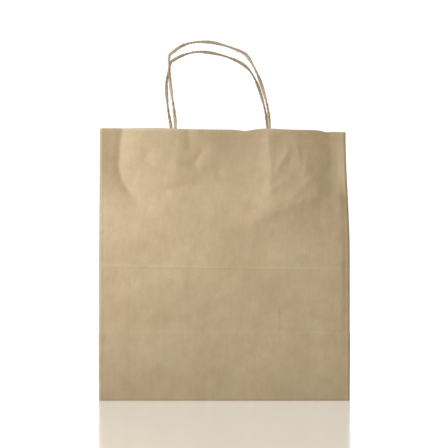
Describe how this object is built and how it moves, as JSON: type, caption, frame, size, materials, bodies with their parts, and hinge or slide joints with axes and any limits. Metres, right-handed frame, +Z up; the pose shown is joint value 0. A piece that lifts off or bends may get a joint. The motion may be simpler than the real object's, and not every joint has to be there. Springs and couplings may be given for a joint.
{
  "type": "gift bag",
  "caption": "Plain kraft paper gift bag with a block base, folding side gussets and a twisted paper cord handle on each wide wall.",
  "frame": {"origin": "centre of the base's underside, on the surface that the open bag stands on", "axes": "+X along the wide walls, to the right as seen from the front; -Y out of the front wall; +Z up through the open mouth"},
  "size_m": [0.26, 0.14, 0.3718],
  "materials": {
    "kraft_paper": "matt unbleached kraft with faint vertical grain",
    "turned_in_paper": "matt unbleached kraft, inner side",
    "base_paper": "matt unbleached kraft, pasted flaps",
    "handle_strip": "matt kraft strip, glued",
    "twisted_cord": "matt twisted paper cord"
  },
  "bodies": {
    "back_wall": {"back_panel": "kraft_paper", "back_hem": "turned_in_paper", "side_seam_lap": "turned_in_paper", "back_backing_strip": "handle_strip", "back_cover_strip": "handle_strip", "back_handle_leg_left": "twisted_cord", "back_handle_leg_right": "twisted_cord"},
    "left_gusset_back_half": {"left_gusset_back": "kraft_paper", "left_gusset_back_hem": "turned_in_paper"},
    "left_gusset_front_half": {"left_gusset_front": "kraft_paper", "left_gusset_front_hem": "turned_in_paper"},
    "right_gusset_back_half": {"right_gusset_back": "kraft_paper", "right_gusset_back_hem": "turned_in_paper"},
    "right_gusset_front_half": {"right_gusset_front": "kraft_paper", "right_gusset_front_hem": "turned_in_paper"},
    "front_wall": {"front_panel": "kraft_paper", "front_hem": "turned_in_paper", "front_backing_strip": "handle_strip", "front_cover_strip": "handle_strip", "front_handle_leg_left": "twisted_cord", "front_handle_leg_right": "twisted_cord"},
    "front_strip": {"front_lower_panel": "kraft_paper"},
    "base": {"base_outer_flap": "base_paper", "base_inner_flap": "base_paper", "base_tuck_left": "base_paper", "base_tuck_right": "base_paper"},
    "left_bottom_fold": {"left_bottom_triangle": "kraft_paper"},
    "right_bottom_fold": {"right_bottom_triangle": "kraft_paper"},
    "left_front_fold": {"left_front_triangle": "kraft_paper"},
    "right_front_fold": {"right_front_triangle": "kraft_paper"},
    "front_handle": {"front_handle_loop": "twisted_cord"},
    "back_handle": {"back_handle_loop": "twisted_cord"}
  },
  "joints": [
    {"name": "bag_fold", "type": "hinge", "parent": "back_wall", "child": "left_gusset_back_half", "pos_m": [-0.13, 0.067, 0.15], "axis": [0, 0, 1], "range_deg": [0, 86]},
    {"name": "left_gusset_centre_fold", "type": "hinge", "parent": "left_gusset_back_half", "child": "left_gusset_front_half", "pos_m": [-0.13, 0, 0.15], "axis": [0, 0, 1], "range_deg": [-172.05, 0]},
    {"name": "front_wall_fold", "type": "hinge", "parent": "left_gusset_front_half", "child": "front_wall", "pos_m": [-0.13, -0.067, 0.15], "axis": [0, 0, 1], "range_deg": [0, 86.05]},
    {"name": "right_gusset_corner_fold", "type": "hinge", "parent": "back_wall", "child": "right_gusset_back_half", "pos_m": [0.13, 0.067, 0.15], "axis": [0, 0, 1], "range_deg": [-86.05, 0]},
    {"name": "right_gusset_centre_fold", "type": "hinge", "parent": "right_gusset_back_half", "child": "right_gusset_front_half", "pos_m": [0.13, 0, 0.15], "axis": [0, 0, 1], "range_deg": [0, 172.05]},
    {"name": "front_strip_fold", "type": "hinge", "parent": "front_wall", "child": "front_strip", "pos_m": [0, -0.07, 0.07], "axis": [1, 0, 0], "range_deg": [-158.05, 0]},
    {"name": "base_fold", "type": "hinge", "parent": "front_strip", "child": "base", "pos_m": [0, -0.0696, 0.0018], "axis": [1, 0, 0], "range_deg": [0, 82.05]},
    {"name": "left_bottom_triangle_fold", "type": "hinge", "parent": "base", "child": "left_bottom_fold", "pos_m": [-0.13, 0, 0.0018], "axis": [0, 1, 0], "range_deg": [0, 88.05], "deforming": ["left_bottom_triangle"]},
    {"name": "right_bottom_triangle_fold", "type": "hinge", "parent": "base", "child": "right_bottom_fold", "pos_m": [0.13, 0, 0.0018], "axis": [0, 1, 0], "range_deg": [-88.05, 0], "deforming": ["right_bottom_triangle"]},
    {"name": "left_front_triangle_fold", "type": "hinge", "parent": "front_strip", "child": "left_front_fold", "pos_m": [-0.13, -0.0696, 0.036], "axis": [0, 0, 1], "range_deg": [-88.05, 0], "deforming": ["left_front_triangle"]},
    {"name": "right_front_triangle_fold", "type": "hinge", "parent": "front_strip", "child": "right_front_fold", "pos_m": [0.13, -0.0696, 0.036], "axis": [0, 0, 1], "range_deg": [0, 88.05], "deforming": ["right_front_triangle"]},
    {"name": "front_handle_swing", "type": "hinge", "parent": "front_wall", "child": "front_handle", "pos_m": [0, -0.0679, 0.289], "axis": [1, 0, 0], "range_deg": [0, 150]},
    {"name": "back_handle_swing", "type": "hinge", "parent": "back_wall", "child": "back_handle", "pos_m": [0, 0.0679, 0.289], "axis": [-1, 0, 0], "range_deg": [0, 150]}
  ],
  "couplings": [
    {"joint": "left_gusset_centre_fold", "follows": "bag_fold", "ratio": -2},
    {"joint": "front_wall_fold", "follows": "bag_fold", "ratio": 1},
    {"joint": "right_gusset_corner_fold", "follows": "bag_fold", "ratio": -1},
    {"joint": "right_gusset_centre_fold", "follows": "bag_fold", "ratio": 2},
    {"joint": "front_strip_fold", "follows": "bag_fold", "ratio": -1.8372},
    {"joint": "base_fold", "follows": "bag_fold", "ratio": 0.9535},
    {"joint": "left_bottom_triangle_fold", "follows": "bag_fold", "ratio": 1.0233},
    {"joint": "right_bottom_triangle_fold", "follows": "bag_fold", "ratio": -1.0233},
    {"joint": "left_front_triangle_fold", "follows": "bag_fold", "ratio": -1.0233},
    {"joint": "right_front_triangle_fold", "follows": "bag_fold", "ratio": 1.0233}
  ]
}
